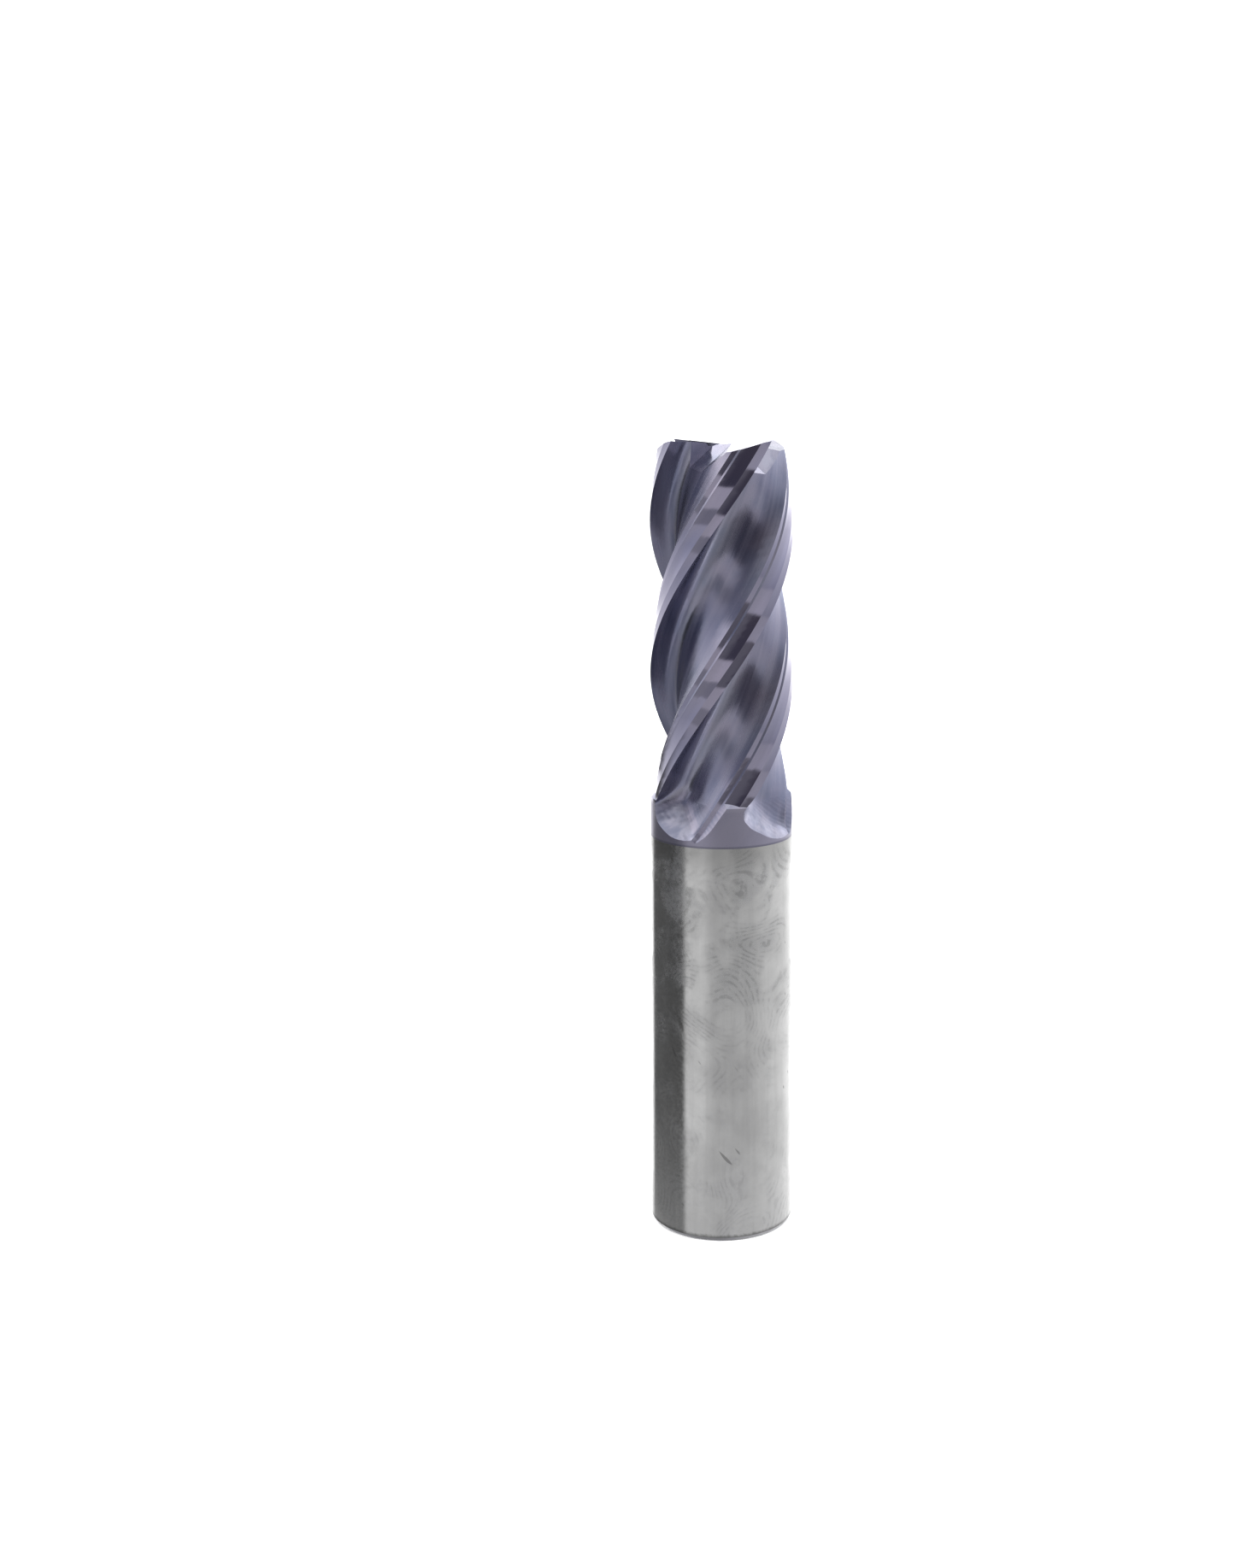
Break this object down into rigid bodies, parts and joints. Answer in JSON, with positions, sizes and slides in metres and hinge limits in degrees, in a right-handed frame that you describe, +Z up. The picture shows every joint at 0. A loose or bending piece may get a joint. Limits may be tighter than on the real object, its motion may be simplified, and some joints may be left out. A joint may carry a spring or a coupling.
{
  "type": "end mill",
  "caption": "Square-end fluted milling cutter: one carbide rod with a plain round shank and a coated helical cutting end.",
  "frame": {"origin": "centre of the shank's flat end face, on the tool's axis", "axes": "+Z up the axis from the shank's end to the cutting end; +X is to the right when the cutting end is seen as pictured, from -Y, with the corner of tooth 1 at the front right and the corner of tooth 4 at the front left"},
  "size_m": [0.018, 0.018, 0.1],
  "materials": {
    "bare_carbide": "ground tungsten carbide, uncoated, neutral grey with fine grinding lines",
    "coated_carbide": "tungsten carbide with a thin hard coating, violet-grey, metallic, with fine grinding lines along the flutes"
  },
  "bodies": {
    "root": {"shank": "bare_carbide", "coated_collar": "coated_carbide", "web_core": "coated_carbide", "tooth_1": "coated_carbide", "tooth_2": "coated_carbide", "tooth_3": "coated_carbide", "tooth_4": "coated_carbide"}
  },
  "joints": []
}
